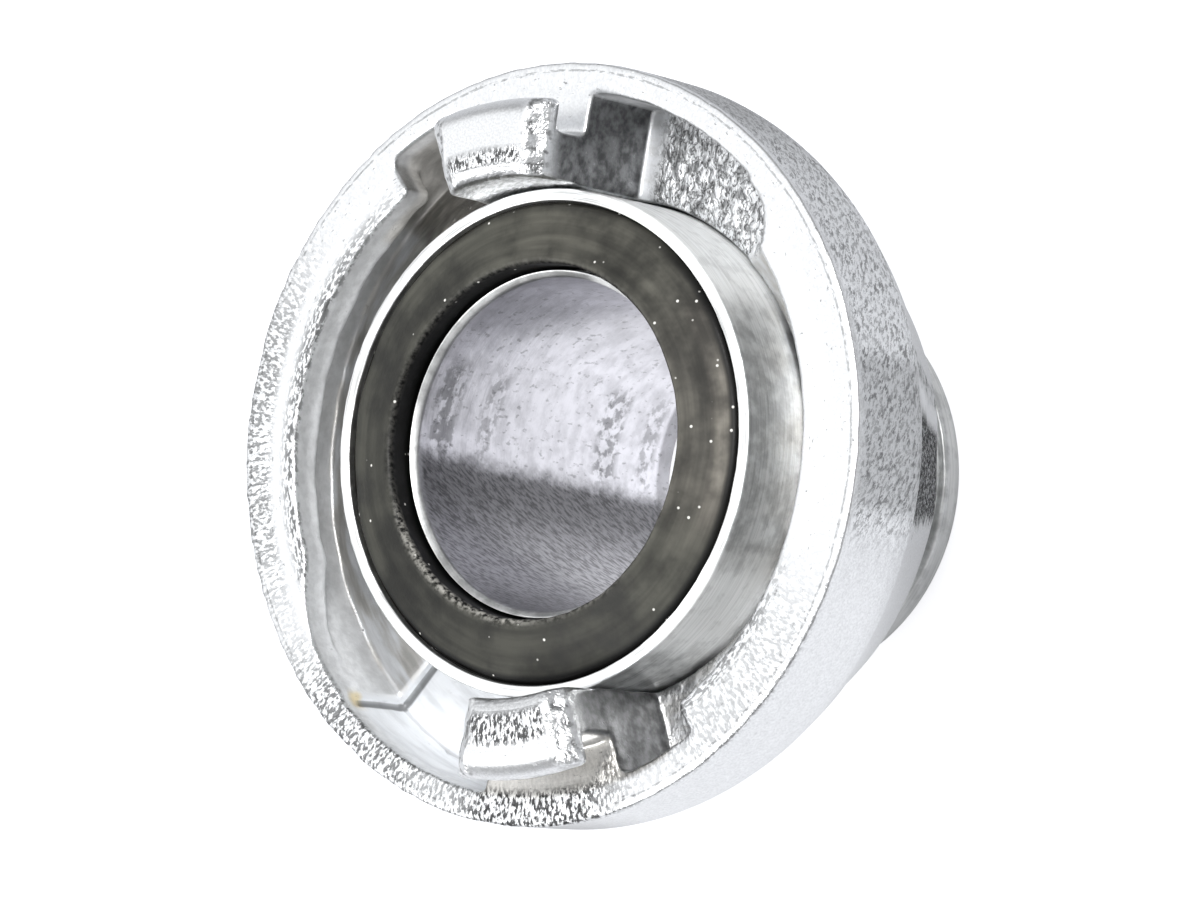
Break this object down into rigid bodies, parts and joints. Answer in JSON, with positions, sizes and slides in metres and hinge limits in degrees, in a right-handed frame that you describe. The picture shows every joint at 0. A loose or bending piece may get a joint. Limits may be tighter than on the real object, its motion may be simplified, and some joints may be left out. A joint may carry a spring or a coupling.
{
  "type": "fire hose adapter",
  "caption": "Aluminium two-claw fire hose coupling: a cast locking head with claws and ramped lips swivels on a ribbed hose tail with a rubber face gasket.",
  "frame": {"origin": "centre of the hose tail's end face, which the part stands on", "axes": "+Z along the bore towards the claws, +Y towards the claw that the picture shows on top, which stands 7 degrees anticlockwise of it"},
  "size_m": [0.098, 0.098, 0.0684],
  "materials": {
    "cast_aluminium": "blasted casting",
    "turned_aluminium": "turned",
    "black_rubber": "matte",
    "spring_steel": "drawn wire"
  },
  "bodies": {
    "tail": {"hose_tail": "turned_aluminium", "gasket": "black_rubber", "snap_ring": "spring_steel"},
    "head": {"locking_head": "cast_aluminium"}
  },
  "joints": [
    {"name": "head_swivel", "type": "hinge", "parent": "tail", "child": "head", "pos_m": [0, 0, 0.041], "axis": [0, 0, 1], "continuous": true}
  ]
}
